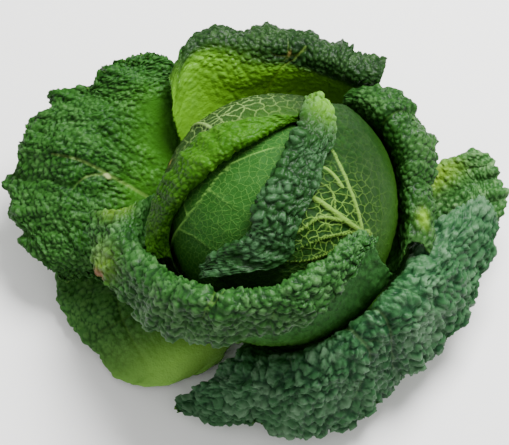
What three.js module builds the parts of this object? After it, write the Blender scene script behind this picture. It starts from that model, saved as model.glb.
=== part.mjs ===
// A savoy cabbage, cut at the stem and standing on the cut face with its outer leaves spread.
// Units are millimetres and +Z is up. The cut face lies in the plane z = 0, the head's middle
// is straight above it, and the front, where the outer leaves part, is -Y.
//
// Each leaf is one closed blade. It is a sheet of rows (base to margin) and columns (side to
// side) of points: first it climbs from the stump, then its margin rolls over backwards. The
// upper face of the sheet carries the pillows between the veins, the lower face carries the ribs.

import * as THREE from 'three';
import { mergeVertices } from 'three/addons/utils/BufferGeometryUtils.js';

// ---------------------------------------------------------------- driving dimensions

const HEAD_HEIGHT = 90;        // height of the head's middle above the cut face
const HEART_RADIUS = 64.8;     // the packed inner leaves
const HEART_STEP = 1.5;        // one leaf's margin standing off the leaf below it
const CUT_RADIUS = 17;         // the flat face that the knife left
const STUMP_SHOULDER = 20;     // radius of the stump where the head sits on it
const STUMP_HEIGHT = 22.5;
const FOOT_GAP = 0.7;          // gap between the stump and a leaf's base
const HEAD_TUCK = 0.06;        // how far the head's leaves draw in towards the stump, as a share
const BLADE = 1.3;             // thickness of a blade between its veins
const NET = 0.7;               // how far the small veins stand out below
const RIB = 2.0;               // how far the midrib stands out below
const PILLOW = 3.0;            // height of the pillows between the veins, larger than life
const ROLL_STEPS = 48;         // steps in which a rolled margin is bent
const WIDTH = [0.8, 0.95, 1, 1, 0.93];  // a leaf's width from base to margin, as a share
const EDGE_WAVE = 0.035;       // how far the two side edges wander, as a share of the width

// Where the leaf bases leave the stump, one above the other: radius and height.
const INNER_FOOT = [24.2, 13.0];
const MIDDLE_FOOT = [24.8, 10.2];
const OUTER_FOOT = [25.4, 7.4];
const LOWEST_FOOT = [26.0, 4.6];

// Leaves that hug the head are patches of a ball about the head's middle: an azimuth, a radius
// (from side to side), the angle at which the patch starts (rise) and ends (crest, from side to
// side), and half its spread (from base to margin). Leaves that open away from it are spanned by
// spokes: an azimuth and the radius and height of points from base to margin. Angles are in
// degrees.
// rollShare is the part of the rows that lies in the rolled margin; rollLength and rollTurn say
// how long that margin is and how far it turns, from side to side. ragged and ruffle wave them.
// width and lean make a blade narrower or turn it about the head, from base to margin. corner
// rounds the two ends of the margin off, wave lifts the blade in folds near the margin, and
// pillow says how strongly the blade is puckered from base to margin.
const LEAVES = {
  head_leaf_left: {
    azimuth: 200, radius: [70.7, 70.7], rise: -74,
    crest: [100, 104, 100], spread: [24, 58, 76, 78, 70],
    rollShare: 0.08, rollLength: [5, 5],
    rollTurn: [2, 2],
    rows: 16, columns: 16, pillow: [0.1, 0.2, 0.3], seed: 1,
    colour: '#7f9c4e', roughness: 0.55,
  },
  head_leaf_back: {
    azimuth: 130, radius: [75, 75], rise: -73,
    crest: [75, 76, 75, 69, 60, 45, 12], spread: [24, 60, 74, 81, 79],
    lean: [0, 1, 4, 6, 8],
    rollShare: 0.36, rollLength: [3, 3, 3, 4, 10, 20, 33, 37, 37, 33, 27, 20, 13],
    rollTurn: [5, 5, 10, 60, 130, 160, 175, 185, 185, 180, 165, 130, 80], rollEnd: 0.62,
    rows: 18, columns: 16, pillow: [0.1, 0.15, 0.25, 0.8, 0.8], seed: 2,
    colour: '#8fae3c', roughness: 0.5,
  },
  head_leaf_right: {
    azimuth: -20, radius: [75, 75, 75.5, 75.5, 76.5, 79.2, 80.5], rise: -72,
    crest: [140, 111, 86, 87, 85, 84, 83, 85, 91], spread: [24, 62, 72, 69, 57],
    lean: [0, 0, 0, -3, -10], corner: 0,
    rollShare: 0.36, rollLength: [18, 32, 39, 40, 38, 37, 34, 26, 15],
    rollTurn: [120, 180, 190, 190, 190, 190, 190, 185, 150], rollEnd: 0.45,
    rows: 20, columns: 18, pillow: [0.1, 0.1, 0.25, 1, 1], seed: 3,
    colour: '#4f7d45', roughness: 0.55,
  },
  wrapper_leaf_front: {
    spokes: [
      [164, INNER_FOOT, [60, 32], [75, 56], [84, 76], [92, 92]],
      [188, INNER_FOOT, [60, 32], [75, 54], [83, 72], [91, 89]],
      [212, INNER_FOOT, [60, 32], [78, 57], [84, 79], [86, 104]],
      [237, INNER_FOOT, [60, 32], [81, 62], [86, 92], [83, 127]],
      [262, INNER_FOOT, [60, 32], [80, 62], [84, 98], [78, 140]],
      [286, INNER_FOOT, [60, 32], [80, 62], [83, 100], [70, 147]],
      [310, INNER_FOOT, [60, 32], [79, 62], [81, 99], [63, 152]],
      [333, INNER_FOOT, [60, 32], [79, 62], [82, 98], [67, 147]],
    ],
    corner: 0.02,
    rollShare: 0.36, rollLength: [35, 44, 55, 61, 52, 38, 26, 14],
    rollTurn: [100, 120, 150, 165, 165, 160, 150, 100], rollEnd: 0.6,
    ragged: 0.11,
    rows: 18, columns: 28, pillow: [0.1, 0.3, 0.5, 1, 1], seed: 4,
    colour: '#4c8653', roughness: 0.5,
  },
  wrapper_leaf_back: {
    spokes: [
      [48, MIDDLE_FOOT, [62, 31], [94, 72], [107, 93], [113, 103]],
      [66, MIDDLE_FOOT, [62, 31], [92, 72], [98, 96], [99, 106]],
      [84, MIDDLE_FOOT, [62, 31], [88, 72], [96, 98], [101, 108]],
      [104, MIDDLE_FOOT, [60, 32], [86, 70], [97, 97], [107, 108]],
      [122, MIDDLE_FOOT, [58, 33], [84, 70], [103, 98], [118, 113]],
      [142, MIDDLE_FOOT, [58, 33], [79, 66], [88, 88], [99, 104]],
    ],
    width: [0.8, 0.95, 1, 0.97, 0.86], lean: [0, 0, 0, -1, -3], corner: 0.11,
    rollShare: 0.24, rollLength: [26, 28, 32, 27, 19, 7],
    rollTurn: [100, 115, 105, 90, 60, 20],
    ruffle: 18,
    rows: 18, columns: 20, pillow: [0.1, 0.3, 0.5, 1, 1], seed: 5,
    colour: '#6f9a2e', roughness: 0.5,
  },
  wrapper_leaf_right: {
    spokes: [
      [-24, INNER_FOOT, [60, 32], [80, 60], [85, 80], [88, 97]],
      [4, INNER_FOOT, [60, 32], [77, 61], [80, 81], [82, 99]],
      [22, INNER_FOOT, [60, 33], [79, 64], [82.5, 85], [82.5, 105]],
      [42, INNER_FOOT, [60, 33], [81, 68], [84.5, 91], [83, 114]],
      [64, INNER_FOOT, [60, 34], [81, 69], [85, 90], [87, 108]],
    ],
    rollShare: 0.34, rollLength: [25, 27, 30, 37, 44, 46, 42, 23, 9],
    rollTurn: [130, 140, 145, 140, 50],
    ruffle: 12,
    rows: 18, columns: 18, pillow: [0.1, 0.3, 0.5, 1, 1], seed: 6,
    colour: '#2f6f3c', roughness: 0.5,
  },
  outer_leaf_left: {
    spokes: [
      [119, OUTER_FOOT, [60, 30], [90, 67], [117, 95], [144, 111]],
      [136, OUTER_FOOT, [60, 30], [92, 67], [120, 93], [142, 98]],
      [151, OUTER_FOOT, [60, 29], [92, 62], [131, 88], [162, 83]],
      [166, OUTER_FOOT, [60, 26], [92, 52], [134, 77], [172, 65]],
      [181, OUTER_FOOT, [60, 22], [92, 38], [128, 57], [160, 47]],
      [195, OUTER_FOOT, [60, 18], [92, 28], [122, 36], [144, 28]],
    ],
    corner: 0.12,
    rollShare: 0.14,
    rollLength: [10, 13, 15, 21, 22, 8, 17, 22, 8, 21, 12, 19, 8, 23, 10, 22, 12, 20, 13, 15, 10],
    rollTurn: [40, 50, 50, 50, 40, 30],
    ruffle: 30, ragged: 0.15, wave: 5,
    rows: 20, columns: 22, pillow: [0.1, 0.5, 1, 1, 1], seed: 7,
    colour: '#3f8246', roughness: 0.5,
  },
  outer_leaf_front_left: {
    spokes: [
      [168, LOWEST_FOOT, [62, 8], [99, 14], [130, 18], [153, 20]],
      [187, LOWEST_FOOT, [62, 8], [97, 13], [124, 15], [147, 15]],
      [206, LOWEST_FOOT, [60, 9], [91, 16], [115, 16], [135, 12]],
      [226, LOWEST_FOOT, [56, 9], [80, 15], [100, 13], [122, 7]],
      [246, LOWEST_FOOT, [46, 9], [59, 12], [70, 10], [80, 6]],
    ],
    corner: 0.14,
    rollShare: 0.08, rollLength: [5, 5, 5],
    rollTurn: [20, 20, 20],
    ragged: 0.3, wave: 2,
    rows: 18, columns: 20, pillow: [0.1, 0.3, 0.7, 1, 1], seed: 8,
    colour: '#7aa63a', roughness: 0.5,
  },
  outer_leaf_front_right: {
    spokes: [
      [-123, OUTER_FOOT, [56, 18], [80, 31], [104, 28], [122, 12]],
      [-95, OUTER_FOOT, [66, 28], [89, 59], [107, 53], [119, 20]],
      [-70, OUTER_FOOT, [77, 38], [90, 80], [108, 70], [126, 26]],
      [-45, OUTER_FOOT, [79, 40], [89, 92], [106, 86], [121, 38]],
      [-20, OUTER_FOOT, [79, 39], [92, 81], [112, 84], [133, 49]],
      [8, OUTER_FOOT, [66, 29], [98, 66], [124, 76], [142, 62]],
    ],
    width: [0.8, 0.84, 0.88, 0.96, 1], lean: [3, 3, 3, 2, 0], corner: 0.05,
    rollShare: 0.12, rollLength: [10, 14, 19, 1, 20, 9, 16, 9, 14, 9, 15, 10, 15, 9, 13, 9],
    rollTurn: [30, 30, 30],
    ruffle: 25, ragged: 0.15, wave: 4,
    rows: 18, columns: 30, pillow: [0.1, 0.5, 1, 1, 1], seed: 9,
    colour: '#34654f', roughness: 0.45,
  },
  outer_leaf_right: {
    spokes: [
      [-6, LOWEST_FOOT, [66, 13], [104, 22], [124, 27], [132, 28]],
      [11, LOWEST_FOOT, [66, 14], [104, 30], [132, 42], [146, 46]],
      [27, LOWEST_FOOT, [66, 16], [104, 38], [131, 54], [146, 61]],
    ],
    corner: 0.14,
    rollShare: 0.1, rollLength: [8, 10, 8],
    rollTurn: [20, 20, 20],
    ruffle: 25, ragged: 0.3, wave: 3,
    rows: 18, columns: 12, pillow: [0.1, 0.4, 1, 1, 1], seed: 10,
    colour: '#5f9a55', roughness: 0.5,
  },
};

const radians = THREE.MathUtils.degToRad;
const { clamp } = THREE.MathUtils;

// ---------------------------------------------------------------- curves

// Smooth curve through evenly spaced values (numbers or [radius, height] pairs), t from 0 to 1.
function along(values, t) {
  if (Array.isArray(values[0])) {
    return values[0].map((_, axis) => along(values.map((value) => value[axis]), t));
  }
  const last = values.length - 1;
  if (last === 0) return values[0];
  const at = (k) => {
    if (k < 0) return 2 * values[0] - values[1];
    return k > last ? 2 * values[last] - values[last - 1] : values[k];
  };
  const x = clamp(t, 0, 1) * last;
  const i = Math.min(Math.floor(x), last - 1);
  const f = x - i;
  const [a, b, c, d] = [at(i - 1), at(i), at(i + 1), at(i + 2)];
  return b + 0.5 * f * (c - a + f * (2 * a - 5 * b + 4 * c - d + f * (3 * (b - c) + d - a)));
}

const ease = (low, high, x) => THREE.MathUtils.smoothstep(x, low, high);

// A wandering line between about -1 and 1.
function ripple(x, seed, octaves) {
  let total = 0;
  for (let k = 0; k < octaves; k += 1) {
    total += 0.62 ** k * Math.sin(3 * 1.9 ** k * x * 2 * Math.PI + seed * 1.7 + k * 2.4);
  }
  return total / 1.6;
}

// A scattered value between 0 and 1 for a place in a grid.
function scatter(i, j, seed) {
  const x = Math.sin(i * 12.9898 + j * 78.233 + seed * 37.719) * 43758.5453;
  return x - Math.floor(x);
}

// ---------------------------------------------------------------- leaf sheets

// u runs from the base (0) to where the margin starts to roll (1), v across from -1 to 1.
function headPoint(leaf, u, v) {
  const rise = radians(leaf.rise + (along(leaf.crest, (v + 1) / 2) - leaf.rise) * u);
  const spread = radians(along(leaf.spread, u) * v + along(leaf.lean ?? [0], u));
  return new THREE.Vector3(
    Math.cos(spread) * Math.cos(rise),
    Math.sin(spread),
    Math.cos(spread) * Math.sin(rise),
  ).multiplyScalar(along(leaf.radius, (v + 1) / 2) * (1 - HEAD_TUCK * (1 - ease(0, 0.4, u))))
    .applyAxisAngle(new THREE.Vector3(0, 0, 1), radians(leaf.azimuth))
    .add(new THREE.Vector3(0, 0, HEAD_HEIGHT));
}

function spokePoint(leaf, u, v) {
  const side = (v + 1) / 2;
  const turn = radians(along(leaf.spokes.map(([azimuth]) => azimuth), side) + along(leaf.lean ?? [0], u));
  const ribs = leaf.spokes[0].slice(1).map((_, k) => along(leaf.spokes.map((s) => s[k + 1]), side));
  const [radius, height] = along(ribs, u);
  return new THREE.Vector3(radius * Math.cos(turn), radius * Math.sin(turn), height);
}

const bladePoint = (leaf, u, v) => (leaf.spokes ? spokePoint : headPoint)(leaf, u, v);

// The rolled margin of one column: how far ahead and how far backwards each step goes.
function rollSteps(leaf, side) {
  const length = along(leaf.rollLength, side) * (1 + (leaf.ragged ?? 0.08) * ripple(side, leaf.seed, 4));
  const turn = radians(along(leaf.rollTurn, side) + (leaf.ruffle ?? 0) * ripple(side, leaf.seed + 3, 2));
  const steps = [[0, 0]];
  for (let k = 0; k < ROLL_STEPS; k += 1) {
    const bend = turn * ease(0, leaf.rollEnd ?? 0.75, (k + 0.5) / ROLL_STEPS);
    const [ahead, back] = steps[k];
    steps.push([ahead + Math.cos(bend) * length / ROLL_STEPS, back + Math.sin(bend) * length / ROLL_STEPS]);
  }
  return steps;
}

// A place on the blade where the outline has its say: w runs from the base (0) to the rolled
// margin (1), v from edge to edge.
function outlinePoint(leaf, w, v) {
  const reach = 1 - (leaf.corner ?? 0.1) * Math.abs(v) ** 3;
  const wander = ease(0, 0.3, w) * EDGE_WAVE * (ripple(w / 2 + Math.sign(v), leaf.seed + 5, 3) - 1);
  return bladePoint(leaf, w * reach, v * (along(leaf.width ?? WIDTH, w) + wander));
}

// The points of a leaf's middle sheet, as rows of columns.
function leafSheet(leaf) {
  const rows = Array.from({ length: leaf.rows + 1 }, () => []);
  const nudge = 1e-3;
  for (let j = 0; j <= leaf.columns; j += 1) {
    const v = 2 * j / leaf.columns - 1;
    const crest = outlinePoint(leaf, 1, v);
    const forward = crest.clone().sub(outlinePoint(leaf, 1 - nudge, v)).normalize();
    const sideways = outlinePoint(leaf, 1, Math.min(v + nudge, 1))
      .sub(outlinePoint(leaf, 1, Math.max(v - nudge, -1))).normalize();
    const upper = forward.clone().cross(sideways).normalize();
    const fold = (leaf.wave ?? 0) * ripple(j / leaf.columns, leaf.seed + 7, 2);
    const steps = rollSteps(leaf, j / leaf.columns);
    for (let i = 0; i <= leaf.rows; i += 1) {
      const w = i / leaf.rows;
      const point = outlinePoint(leaf, Math.min(w / (1 - leaf.rollShare), 1), v);
      const place = clamp((w - 1 + leaf.rollShare) / leaf.rollShare, 0, 1) * ROLL_STEPS;
      const k = Math.min(Math.floor(place), ROLL_STEPS - 1);
      const ahead = THREE.MathUtils.lerp(steps[k][0], steps[k + 1][0], place - k);
      const back = THREE.MathUtils.lerp(steps[k][1], steps[k + 1][1], place - k);
      point.addScaledVector(forward, ahead).addScaledVector(upper, fold * ease(0.4, 1, w) - back);
      rows[i].push(point);
    }
  }
  return rows;
}

// Unit normals of the upper face at every point of a sheet. An edge point takes its inner
// neighbour's, so that the two faces stay apart where the edge bends sharply.
function sheetNormals(rows) {
  return rows.map((row, i) => row.map((_, j) => {
    const [m, n] = [clamp(i, 1, rows.length - 2), clamp(j, 1, row.length - 2)];
    const up = rows[m + 1][n].clone().sub(rows[m - 1][n]);
    const across = rows[m][n + 1].clone().sub(rows[m][n - 1]);
    return up.cross(across).normalize();
  }));
}

// Height of the pillows at a place of the grid: high at odd places, veins run between them.
function pillowHeight(leaf, i, j) {
  const middle = leaf.columns / 2;
  const parity = i % 2 + j % 2;
  const share = [0, 0.45, 1][parity] * (0.7 + 0.6 * scatter(i, j, leaf.seed));
  const offMidrib = ease(0, 2.5, Math.abs(j - middle));
  return PILLOW * along(leaf.pillow, i / leaf.rows) * share * offMidrib;
}

// Thickness below the sheet: the blade, the small veins, the side veins and the midrib.
function thicknessBelow(leaf, i, j) {
  const middle = leaf.columns / 2;
  const off = Math.abs(j - middle);
  const fade = ease(0, 0.15, i / leaf.rows) * (1 - 0.75 * i / leaf.rows);
  const net = i % 2 === 0 && j % 2 === 0 ? NET : 0;
  const sideVein = (i + leaf.columns - Math.round(off)) % 5 === 0 && off > 0.5 ? 0.4 * RIB : 0;
  const midrib = off < 0.5 ? RIB : 0;
  return BLADE + Math.max(net, sideVein, midrib) * fade;
}

// A sheet given its two faces and closed round its edge. Both faces are split alike.
function leafGeometry(leaf) {
  const sheet = leafSheet(leaf);
  const normals = sheetNormals(sheet);
  const positions = [];
  const upper = [];
  const lower = [];
  sheet.forEach((row, i) => {
    upper.push([]);
    lower.push([]);
    row.forEach((point, j) => {
      const edge = i === leaf.rows || j === 0 || j === leaf.columns;
      const raised = edge ? 0.3 * pillowHeight(leaf, i, j) : pillowHeight(leaf, i, j);
      const top = point.clone().addScaledVector(normals[i][j], raised);
      const depth = edge ? BLADE : thicknessBelow(leaf, i, j);
      const bottom = top.clone().addScaledVector(normals[i][j], -depth);
      upper[i].push(positions.push(top) - 1);
      lower[i].push(positions.push(bottom) - 1);
    });
  });

  const faces = [];
  for (let i = 0; i < leaf.rows; i += 1) {
    for (let j = 0; j < leaf.columns; j += 1) {
      // the diagonal joins the two places of middle height, so that a pillow's top stays free
      const corners = [[i, j], [i + 1, j], [i + 1, j + 1], [i, j + 1]];
      const start = (i + j) % 2 === 0 ? 1 : 0;
      const [a, b, c, d] = [0, 1, 2, 3].map((k) => corners[(k + start) % 4]);
      [[a, b, c], [a, c, d]].forEach((triangle) => {
        faces.push(triangle.map(([r, s]) => upper[r][s]));
        faces.push(triangle.map(([r, s]) => lower[r][s]).reverse());
      });
    }
  }
  const { rows, columns } = leaf;
  const rim = [
    ...Array.from({ length: columns }, (_, j) => [0, j]),
    ...Array.from({ length: rows }, (_, i) => [i, columns]),
    ...Array.from({ length: columns }, (_, j) => [rows, columns - j]),
    ...Array.from({ length: rows }, (_, i) => [rows - i, 0]),
  ];
  rim.forEach(([i, j], k) => {
    const [m, n] = rim[(k + 1) % rim.length];
    faces.push([upper[i][j], upper[m][n], lower[m][n]], [upper[i][j], lower[m][n], lower[i][j]]);
  });
  return solid(positions, faces);
}

function solid(positions, faces) {
  const geometry = new THREE.BufferGeometry();
  const places = positions.flatMap((p) => p.toArray());
  geometry.setAttribute('position', new THREE.Float32BufferAttribute(places, 3));
  geometry.setIndex(faces.flat());
  geometry.computeVertexNormals();
  return geometry;
}

// ---------------------------------------------------------------- heart and stump

// The packed inner leaves: each covers the ball up to its own waved margin and stands one step
// off the leaf below it. A leaf is given by the azimuth and height angle of its middle, and by
// how far it reaches from there.
const HEART_LEAVES = [
  [20, -25, 96], [150, -20, 92], [265, -15, 90], [75, -10, 84], [205, -5, 78],
];
const HEART_ROWS = 20;
const HEART_COLUMNS = 32;

function heartGeometry() {
  const ball = new THREE.SphereGeometry(1, HEART_COLUMNS, HEART_ROWS).rotateX(Math.PI / 2);
  const place = ball.getAttribute('position');
  const point = new THREE.Vector3();
  const middle = new THREE.Vector3();
  for (let k = 0; k < place.count; k += 1) {
    point.fromBufferAttribute(place, k).normalize();
    let radius = HEART_RADIUS - HEART_STEP * HEART_LEAVES.length;
    HEART_LEAVES.forEach(([azimuth, height, reach], n) => {
      middle.setFromSphericalCoords(1, radians(90 - height), 0).set(
        Math.cos(radians(height)) * Math.cos(radians(azimuth)),
        Math.cos(radians(height)) * Math.sin(radians(azimuth)),
        Math.sin(radians(height)),
      );
      const away = THREE.MathUtils.radToDeg(point.angleTo(middle));
      const around = Math.atan2(point.z - middle.z, point.x * middle.y - point.y * middle.x);
      const margin = reach + 2.5 * Math.sin(7 * around + n) + 1.5 * Math.sin(13 * around + 2 * n);
      radius += HEART_STEP * ease(margin, margin - 6, away);
    });
    place.setXYZ(k, point.x * radius, point.y * radius, point.z * radius + HEAD_HEIGHT);
  }
  ball.deleteAttribute('normal');
  ball.deleteAttribute('uv');
  const merged = mergeVertices(ball, 1e-3);
  merged.computeVertexNormals();
  return merged;
}

// The cut stem: flat below, and just clear of the leaf bases that leave it one above the other.
function stumpGeometry() {
  const feet = [LOWEST_FOOT, OUTER_FOOT, MIDDLE_FOOT, INNER_FOOT];
  const profile = [
    [0, 0], [CUT_RADIUS, 0], [CUT_RADIUS + 3.5, 1],
    ...feet.map(([radius, height]) => [radius - FOOT_GAP, height]),
    [STUMP_SHOULDER, STUMP_HEIGHT - 4], [STUMP_SHOULDER - 8, STUMP_HEIGHT], [0, STUMP_HEIGHT],
  ].map(([radius, height]) => new THREE.Vector2(radius, height));
  return new THREE.LatheGeometry(profile, 32).rotateX(Math.PI / 2);
}

// ---------------------------------------------------------------- the cabbage

function piece(name, geometry, colour, roughness) {
  const material = new THREE.MeshStandardMaterial({ color: colour, roughness, metalness: 0 });
  const mesh = new THREE.Mesh(geometry, material);
  mesh.name = name;
  return mesh;
}

const group = new THREE.Group();
group.name = 'savoy_cabbage';
group.add(piece('stump', stumpGeometry(), '#cfd3a4', 0.7));
group.add(piece('heart', heartGeometry(), '#c9d68a', 0.6));
Object.entries(LEAVES).forEach(([name, leaf]) => {
  group.add(piece(name, leafGeometry(leaf), leaf.colour, leaf.roughness));
});

export default group;
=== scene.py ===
import math

import bpy
import numpy as np
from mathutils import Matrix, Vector
from mathutils.kdtree import KDTree


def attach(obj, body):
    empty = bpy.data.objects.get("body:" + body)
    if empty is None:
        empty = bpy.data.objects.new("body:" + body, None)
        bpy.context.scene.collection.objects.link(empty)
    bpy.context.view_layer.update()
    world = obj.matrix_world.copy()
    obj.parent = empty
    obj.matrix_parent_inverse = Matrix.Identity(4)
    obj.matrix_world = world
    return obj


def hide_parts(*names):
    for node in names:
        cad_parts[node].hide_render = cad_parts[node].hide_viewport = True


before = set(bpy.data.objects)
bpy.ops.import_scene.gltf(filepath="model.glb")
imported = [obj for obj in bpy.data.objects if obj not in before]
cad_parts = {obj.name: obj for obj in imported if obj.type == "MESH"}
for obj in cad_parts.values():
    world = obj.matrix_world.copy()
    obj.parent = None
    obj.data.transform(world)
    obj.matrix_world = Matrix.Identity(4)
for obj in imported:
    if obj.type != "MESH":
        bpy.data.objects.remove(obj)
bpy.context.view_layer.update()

# A savoy cabbage on its cut stem. Shapes are worked out in millimetres, in the frame's own axes,
# and become metres where a mesh is made.
MM = 0.001
HEAD = np.array((0.0, 0.0, 90.0))       # middle of the head
HEAD_TUCK = 0.06                        # how far the head's leaves draw in at the stump, as a share
WIDTH = (0.8, 0.95, 1, 1, 0.93)         # a leaf's width from base to margin, as a share
EDGE_WAVE = 0.035                       # how far the side edges wander, as a share of the width
ROLL_STEPS = 48                         # steps in which a rolled margin is bent

BLADE = 0.8                             # thickness of a blade between its veins
THICKEST = 4.5                          # blade and midrib together, where the midrib is thickest
NET_RISE = 0.35                         # how far the net of veins stands out of the lower face
VEIN_STEP = 4.0                         # length of the short straight pieces that make a vein
DOME = 0.33                             # height of a pillow as a share of its width
SMALL_PILLOW = 0.42                     # width of the small pillows on the large ones, as a share
SIZE_PATCH = 16.0                       # the pillows' size changes over patches of about this width
FIRST_HALF_WIDTH = 80.0                 # half a leaf's width, until the leaf is measured


# ---------------------------------------------------------------- curves

def along(values, t):
    """Smooth curve through evenly spaced values, read at t from 0 to 1."""
    p = np.asarray(values, float)
    p = np.concatenate([[2 * p[0] - p[1]], p, [2 * p[-1] - p[-2]]])
    x = np.clip(np.asarray(t, float), 0, 1) * (len(p) - 3)
    i = np.minimum(x.astype(int), len(p) - 4)
    f = x - i
    f = f.reshape(f.shape + (1,) * (p.ndim - 1))
    a, b, c, d = p[i], p[i + 1], p[i + 2], p[i + 3]
    return b + 0.5 * f * (c - a + f * (2 * a - 5 * b + 4 * c - d + f * (3 * (b - c) + d - a)))


def ease(low, high, x):
    """0 below low, 1 above high, smooth between."""
    t = np.clip((x - low) / (high - low), 0, 1)
    return t * t * (3 - 2 * t)


def ripple(x, seed, octaves, rate=3.0):
    """A wandering line between about -1 and 1."""
    total = 0
    for k in range(octaves):
        total = total + 0.62 ** k * np.sin(rate * 1.9 ** k * x * 2 * math.pi + seed * 1.7 + k * 2.4)
    return total / 1.6


def scallops(x, seed, count):
    """Round lobes with sharp notches between them, from about -0.6 to 0.4."""
    phase = x * count + 0.35 * ripple(x, seed, 3, count * 0.31)
    depth = 0.75 + 0.25 * ripple(x, seed + 2, 2, count * 0.4)
    return np.abs(np.sin(math.pi * phase)) ** 0.7 * depth - 0.6


def unit(a):
    """The same directions, each with length 1."""
    return a / np.maximum(np.linalg.norm(a, axis=-1, keepdims=True), 1e-9)


# ---------------------------------------------------------------- leaf sheets

def head_point(leaf, u, v):
    """A blade that hugs the head: a patch of a ball, u from base to crest, v across."""
    rise = np.radians(leaf["rise"] + (along(leaf["crest"], (v + 1) / 2) - leaf["rise"]) * u)
    spread = np.radians(along(leaf["spread"], u) * v + along(leaf.get("lean", (0, 0)), u))
    radius = along(leaf["radius"], (v + 1) / 2) * (1 - HEAD_TUCK * (1 - ease(0, 0.4, u)))
    a = math.radians(leaf["azimuth"])
    out, across = np.array((math.cos(a), math.sin(a), 0)), np.array((-math.sin(a), math.cos(a), 0))
    ahead, aside, up = np.cos(spread) * np.cos(rise), np.sin(spread), np.cos(spread) * np.sin(rise)
    local = ahead[..., None] * out + aside[..., None] * across + up[..., None] * np.array((0, 0, 1))
    return HEAD + radius[..., None] * local


def spoke_point(leaf, u, v):
    """A blade that opens away from the head, spanned by spokes in upright planes."""
    side = (v + 1) / 2
    azimuth = along([spoke[0] for spoke in leaf["spokes"]], side)
    turn = np.radians(azimuth + along(leaf.get("lean", (0, 0)), u))
    ribs = along(np.array([spoke[1:] for spoke in leaf["spokes"]], float), side)
    last = ribs.shape[-2] - 1
    x = np.clip(u, 0, 1) * last
    i = np.minimum(x.astype(int), last - 1)
    f = (x - i)[..., None]
    first = 2 * ribs[..., :1, :] - ribs[..., 1:2, :]
    end = 2 * ribs[..., -1:, :] - ribs[..., -2:-1, :]
    ribs = np.concatenate([first, ribs, end], axis=-2)
    a, b, c, d = (np.take_along_axis(ribs, (i + k)[..., None, None], axis=-2)[..., 0, :]
                  for k in range(4))
    place = b + 0.5 * f * (c - a + f * (2 * a - 5 * b + 4 * c - d + f * (3 * (b - c) + d - a)))
    radius, height = place[..., 0], place[..., 1]
    return np.stack([radius * np.cos(turn), radius * np.sin(turn), height], axis=-1)


def outline_point(leaf, w, v):
    """A place on the blade inside its outline: w from base to rolled margin, v from edge to edge."""
    reach = 1 - leaf.get("corner", 0.1) * np.abs(v) ** 3
    wander = ease(0, 0.3, w) * EDGE_WAVE * (ripple(w / 2 + np.sign(v), leaf["seed"] + 5, 3) - 1)
    lobes = scallops(w + 3, leaf["seed"], leaf["lobes"] * 0.6)
    frill = ease(0.2, 0.5, w) * leaf["frill"] * lobes / leaf["half_width"]
    width = along(leaf.get("width", WIDTH), w) + wander + frill * np.abs(v) ** 6
    point = spoke_point if "spokes" in leaf else head_point
    return point(leaf, w * reach, v * width)


def leaf_sheet(leaf, w, v):
    """A leaf's sheet with its rolled margin, on a grid of w from base to tip and v from edge to edge."""
    share = leaf["roll_share"]
    across = v[0]
    side = (across + 1) / 2
    nudge = 1e-3
    top = np.ones_like(across)
    crest = outline_point(leaf, top, across)
    forward = unit(crest - outline_point(leaf, top - nudge, across))
    sideways = unit(outline_point(leaf, top, np.minimum(across + nudge, 1))
                    - outline_point(leaf, top, np.maximum(across - nudge, -1)))
    upper = unit(np.cross(forward, sideways))

    seed = leaf["seed"]
    ragged = 1 + leaf.get("ragged", 0.08) * ripple(side, seed, 4)
    frill = leaf["frill"] * scallops(side, seed + 11, leaf["lobes"])
    length = along(leaf["roll_length"], side) * ragged + frill
    turn = np.radians(along(leaf["roll_turn"], side) + leaf.get("ruffle", 0) * ripple(side, seed + 3, 2))
    x = (np.arange(ROLL_STEPS) + 0.5) / ROLL_STEPS
    bend = ease(0, leaf.get("roll_end", 0.75), x)[:, None] * turn
    start = np.zeros((1, len(across)))
    ahead = np.concatenate([start, np.cumsum(np.cos(bend), 0)]) / ROLL_STEPS * length
    back = np.concatenate([start, np.cumsum(np.sin(bend), 0)]) / ROLL_STEPS * length

    place = np.clip((w - 1 + share) / share, 0, 1) * ROLL_STEPS
    i = np.minimum(place.astype(int), ROLL_STEPS - 1)
    f = place - i
    column = np.arange(len(across))[None, :] * np.ones(w.shape, int)
    ahead = ahead[i, column] * (1 - f) + ahead[i + 1, column] * f
    back = back[i, column] * (1 - f) + back[i + 1, column] * f
    fold = leaf.get("wave", 0) * ripple(side, seed + 7, 2)
    flutter = leaf["frill"] * ripple(side, seed + 13, 3, leaf["lobes"] * 0.45)
    lift = fold * ease(0.4, 1, w) + flutter * ease(0.8, 1, w) - back
    sheet = outline_point(leaf, np.clip(w / (1 - share), 0, 1), v)
    return sheet + ahead[..., None] * forward + lift[..., None] * upper


def face_normals(sheet):
    """Directions straight out of the sheet's upper face."""
    return unit(np.cross(np.gradient(sheet, axis=0), np.gradient(sheet, axis=1)))


def flat_places(sheet, middle):
    """The leaf laid flat on paper: x across from the midrib, y from the base, in millimetres."""
    column = int(round(middle * (sheet.shape[1] - 1)))
    cells_across = np.linalg.norm(np.diff(sheet, axis=1), axis=-1)
    cells_along = np.linalg.norm(np.diff(sheet, axis=0), axis=-1)
    s = np.concatenate([np.zeros((len(sheet), 1)), np.cumsum(cells_across, 1)], 1)
    t = np.concatenate([[0], np.cumsum(cells_along.mean(1))])
    width = s[:, -1]
    s = s - s[:, column:column + 1]
    opening = np.gradient(np.log(width)) / np.gradient(t)
    rows, least = 12, 1e-5          # smoothed over this many rows on each side, and never quite 0
    window = np.ones(2 * rows + 1) / (2 * rows + 1)
    opening = np.convolve(np.pad(opening, rows, mode="edge"), window, mode="valid")
    opening = np.where(np.abs(opening) < least, least, opening)[:, None]
    return np.sin(opening * s) / opening, t[:, None] - (1 - np.cos(opening * s)) / opening


# ---------------------------------------------------------------- veins and pillows

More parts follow.
